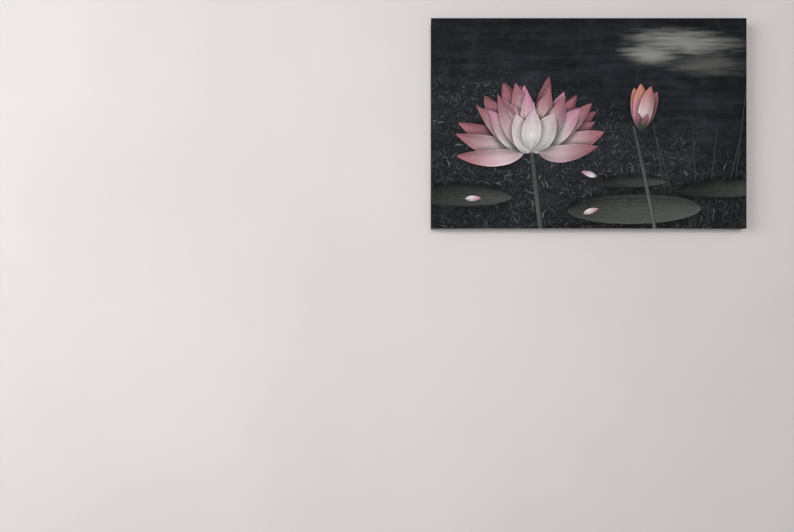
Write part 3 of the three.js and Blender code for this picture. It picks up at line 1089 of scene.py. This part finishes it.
class CANVASPRINT_OT_keys(bpy.types.Operator):
    """Make the eight corner keys, two to each corner"""

    bl_idname = "canvas_print.keys"
    bl_label = "Corner Keys"

    def execute(self, context):
        for node in nodes_named("key_"):
            piece = eased(node, node.replace("key_", "corner_key_"), 0.35 * MM)
            upright = "key_top" in node or "key_bottom" in node
            finish_piece(piece, "beech", beech(context.scene.print_timber, upright), node)
        return {"FINISHED"}


# Fittings


def zinc():
    return material_of("bright zinc", bright_zinc)


def copied(shape, name, turn, place):
    """A copy of a shape, turned about Y and put in its place."""
    piece = copy_of(shape.data, name)
    piece.rotation_euler = (0, turn, 0)
    piece.location = place
    settle(piece)
    return piece


def copies(shape, start, new_start, draw_place):
    """Puts a copy of the shape at each node whose name has that start, turned and sunk as drawn."""
    for node in nodes_named(start):
        turn, sink = draw_place(node)
        place = middle_of(node)
        place.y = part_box(node)[1].y - sink
        piece = copied(shape, node.replace(start, new_start), turn, place)
        finish_piece(piece, "zinc_steel", zinc(), node)
    bpy.data.objects.remove(shape)


def staple_shape(leg):
    """One staple: its crown along X with its top at y = 0, and its two legs towards -Y."""
    length, wire, thick = 12 * MM, 1.2 * MM, 0.7 * MM
    piece = primitive(
        bpy.ops.mesh.primitive_cube_add, "staple_shape",
        size=1, location=(0, -thick / 2, 0), scale=(length, thick, wire),
    )
    edit(piece)
    inner = length / 2 - thick
    cut_all(piece, [Vector((-inner, 0, 0)), Vector((inner, 0, 0))], (1, 0, 0))
    pick(piece, faces=lambda f: f.normal.y < -0.9 and abs(f.calc_center_median().x) > inner)
    bpy.ops.mesh.extrude_region_move(TRANSFORM_OT_translate={"value": (0, -leg, 0)})
    at_shoulder = lambda v: abs(v.co.x) > inner + CLOSE and v.co.y > -CLOSE
    pick(piece, edges=lambda e: all(at_shoulder(v) for v in e.verts))
    bpy.ops.mesh.bevel(offset=0.6 * MM, segments=4, affect="EDGES")
    leave_edit()
    ease_edges(piece, 0.14 * MM, 50)
    smooth(piece, 40)
    return piece


def middle_of(node):
    low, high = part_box(node)
    return (low + high) / 2


class CANVASPRINT_OT_staples(bpy.types.Operator):
    """Drive the staples that hold the cloth to the back of the bars"""

    bl_idname = "canvas_print.staples"
    bl_label = "Staples"

    def execute(self, context):
        draw = random.Random(3)

        def draw_place(node):
            upright = "left" in node or "right" in node
            turn = (QUARTER if upright else 0.0) + math.radians(draw.uniform(-9, 9))
            return turn, draw.uniform(0.18, 0.28) * MM

        shape = staple_shape(context.scene.print_fittings.staple_leg)
        copies(shape, "staple_", "wire_staple_", draw_place)
        return {"FINISHED"}


def screw_shape():
    """One small pan-head screw at the origin: its head's underside at y = 0, its shank towards -Y."""
    head, shank, length = 2.5 * MM, 1.0 * MM, 9 * MM
    piece = primitive(
        bpy.ops.mesh.primitive_cylinder_add, "screw_shape", vertices=28, radius=head, depth=SCREW_RISE,
        location=(0, SCREW_RISE / 2, 0), rotation=(-QUARTER, 0, 0),
    )
    edit(piece)
    pick(piece, edges=lambda e: all(v.co.y > SCREW_RISE - CLOSE for v in e.verts))
    bpy.ops.mesh.bevel(offset=0.7 * MM, segments=4, profile=0.55, affect="EDGES")
    pick(piece, faces=lambda f: f.normal.y < -0.9)
    bpy.ops.mesh.inset(thickness=head - shank)
    bpy.ops.mesh.extrude_region_move(TRANSFORM_OT_translate={"value": (0, -length, 0)})
    leave_edit()
    for turn in (0.0, QUARTER):
        cutter = primitive(
            bpy.ops.mesh.primitive_cube_add, "cross_cutter", size=1, location=(0, SCREW_RISE, 0),
            rotation=(0, turn, 0), scale=(2.7 * MM, 1.1 * MM, 0.55 * MM),
        )
        apply_modifier(piece, "BOOLEAN", object=cutter, operation="DIFFERENCE", solver="EXACT")
        bpy.data.objects.remove(cutter)
    smooth(piece, 35)
    return piece


class CANVASPRINT_OT_hangers(bpy.types.Operator):
    """Make the two sawtooth hangers and their screws"""

    bl_idname = "canvas_print.hangers"
    bl_label = "Hangers and Screws"

    def execute(self, context):
        for side in ("left", "right"):
            piece = eased("hanger_" + side, "sawtooth_hanger_" + side, 0.16 * MM)
            finish_piece(piece, "zinc_steel", zinc(), "hanger_" + side)
        draw = random.Random(5)
        draw_place = lambda node: (draw.uniform(0, math.pi), SCREW_RISE)
        copies(screw_shape(), "screw_", "hanger_screw_", draw_place)
        return {"FINISHED"}


class CANVASPRINT_OT_bumpers(bpy.types.Operator):
    """Stick the rubber wall bumpers onto the back corners"""

    bl_idname = "canvas_print.bumpers"
    bl_label = "Wall Bumpers"

    def execute(self, context):
        for node in nodes_named("bumper_"):
            low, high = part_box(node)
            radius = (high.x - low.x) / 2
            piece = primitive(
                bpy.ops.mesh.primitive_cylinder_add, node.replace("bumper_", "wall_bumper_"), vertices=48,
                radius=radius, depth=high.y - low.y, location=middle_of(node), rotation=(-QUARTER, 0, 0),
            )
            edit(piece)
            pick(piece, edges=lambda e: all(v.co.y > high.y - CLOSE for v in e.verts))
            bpy.ops.mesh.bevel(offset=0.9 * MM, segments=4, affect="EDGES")
            pick(piece, edges=lambda e: all(v.co.y < low.y + CLOSE for v in e.verts))
            bpy.ops.mesh.bevel(offset=0.3 * MM, segments=2, affect="EDGES")
            leave_edit()
            smooth(piece, 35)
            finish_piece(piece, "bumper_rubber", material_of("bumper rubber", bumper_rubber), node)
        return {"FINISHED"}


# Stage


def painted(name, colour):
    """Plain paint, hardly uneven, with its tree and its shader."""
    material, build, shader = new_material(name)
    cloud = build.span(build.noise(object_places(build), 1.6, 3.0), 0.3, 0.7, 0.975, 1.02)
    build.fill(shader, Base_Color=build.scaled(colour, cloud), Roughness=0.9, Specular_IOR_Level=0.2)
    return material, build, shader


def painted_on_front(name, colour):
    """The same paint, seen only from the surface's front, so that it hides nothing behind it."""
    material, build, shader = painted(name, colour)
    mixed = build.node("MixShader")
    build.feed(mixed.inputs[0], build.node("NewGeometry").outputs["Backfacing"])
    build.feed(mixed.inputs[1], shader.outputs[0])
    build.feed(mixed.inputs[2], build.node("BsdfTransparent").outputs[0])
    build.feed(material.node_tree.nodes["Material Output"].inputs["Surface"], mixed.outputs[0])
    return material


def soft_light(name, place, size, power):
    """A broad light at that place, turned to the print and hidden from the camera."""
    aim = Vector((MIDDLE.x, 0, MIDDLE.z)) - Vector(place)
    turn = aim.to_track_quat("-Z", "Y").to_euler()
    light = added(bpy.ops.object.light_add, name, type="AREA", location=place, rotation=turn)
    light.data.shape = "RECTANGLE"
    light.data.size, light.data.size_y = size
    light.data.energy = power
    light.visible_camera = False


def room_camera(look):
    """The camera at the photograph's place, with the photograph's framing. Gives back its eye."""
    eye = Vector((-look.eye_side, PICTURE_Y - look.distance, CLOTH_LOW.z - look.eye_drop))
    camera = added(bpy.ops.object.camera_add, "room_camera", location=eye, rotation=(QUARTER, 0, 0))
    camera.data.lens = look.lens
    camera.data.shift_x = (FRAME_WIDTH / 2 - SIGHT_X) / FRAME_WIDTH
    camera.data.shift_y = (SIGHT_Y - FRAME_HEIGHT / 2) / FRAME_WIDTH
    camera.data.clip_start, camera.data.clip_end = 0.05, 60
    bpy.context.scene.camera = camera
    return eye


def room_air(look):
    """Even light from all round, and the brightness that the camera sees where no wall shows."""
    world = bpy.data.worlds.new("room_light")
    world.use_nodes = True
    background = world.node_tree.nodes["Background"]
    build = Tree(world.node_tree)
    seen = build.node("LightPath").outputs["Is Camera Ray"]
    strength = build.span(seen, 0.0, 1.0, look.air, look.backdrop, "LINEAR")
    build.fill(background, Color=(1.0, 0.985, 0.97), Strength=strength)
    bpy.context.scene.world = world


class CANVASPRINT_OT_stage(bpy.types.Operator):
    """Set the camera, the plain wall and floor, and the soft light"""

    bl_idname = "canvas_print.stage"
    bl_label = "Stage"

    def execute(self, context):
        look = context.scene.print_stage
        eye = room_camera(look)
        floor_z = eye.z - look.eye_height
        plane = bpy.ops.mesh.primitive_plane_add
        floor = primitive(plane, "plain_floor", size=14, location=(0, 0, floor_z))
        floor.data.materials.append(painted("floor paint", tuple(look.floor_colour))[0])
        wall_size = 8
        wall_place = (0, WALL_Y + 0.2 * MM, floor_z + wall_size / 2)
        wall = primitive(plane, "plain_wall", size=wall_size, location=wall_place, rotation=(QUARTER, 0, 0))
        wall.data.materials.append(painted_on_front("wall paint", tuple(look.wall_colour)))
        for way in ("shadow", "diffuse", "glossy", "transmission"):
            setattr(wall, "visible_" + way, False)

        soft_light("key_light", (-4.1, -3.0, 0.1), (2.9, 2.4), look.key_power)
        soft_light("fill_light", (-0.3, -5.0, 0.3), (1.5, 1.5), look.fill_power)
        soft_light("back_light", (0.4, 3.0, -1.15), (2.6, 0.9), look.back_power)
        room_air(look)
        context.scene.view_settings.view_transform = "Standard"
        return {"FINISHED"}


class CANVASPRINT_PT_panel(bpy.types.Panel):
    bl_label = "Canvas Print"
    bl_idname = "CANVASPRINT_PT_panel"
    bl_space_type = "VIEW_3D"
    bl_region_type = "UI"
    bl_category = "Canvas Print"

    def draw(self, context):
        for operator in OPERATORS:
            self.layout.operator(operator.bl_idname)
        for group in SETTINGS:
            settings = getattr(context.scene, group)
            for name in settings.bl_rna.properties.keys():
                if name not in ("rna_type", "name"):
                    self.layout.prop(settings, name)


SETTINGS = {
    "print_cloth": ClothSettings,
    "print_picture": PictureSettings,
    "print_timber": TimberSettings,
    "print_fittings": FittingSettings,
    "print_stage": StageSettings,
}
OPERATORS = (
    CANVASPRINT_OT_stage,
    CANVASPRINT_OT_stretchers,
    CANVASPRINT_OT_cloth,
    CANVASPRINT_OT_keys,
    CANVASPRINT_OT_staples,
    CANVASPRINT_OT_hangers,
    CANVASPRINT_OT_bumpers,
)
CLASSES = (*SETTINGS.values(), *OPERATORS, CANVASPRINT_PT_panel)


def register():
    for made in CLASSES:
        bpy.utils.register_class(made)
    for name, group in SETTINGS.items():
        setattr(bpy.types.Scene, name, bpy.props.PointerProperty(type=group))


def unregister():
    for name in SETTINGS:
        delattr(bpy.types.Scene, name)
    for made in reversed(CLASSES):
        bpy.utils.unregister_class(made)


def main():
    register()
    for make_group in (woven_threads, petal_group, floating_flecks, still_pond, wood_grain, dust_and_wear):
        make_group()
    bpy.ops.canvas_print.stage()
    bpy.ops.canvas_print.stretchers()
    bpy.ops.canvas_print.cloth()
    bpy.ops.canvas_print.keys()
    bpy.ops.canvas_print.staples()
    bpy.ops.canvas_print.hangers()
    bpy.ops.canvas_print.bumpers()


if __name__ == "__main__":
    main()
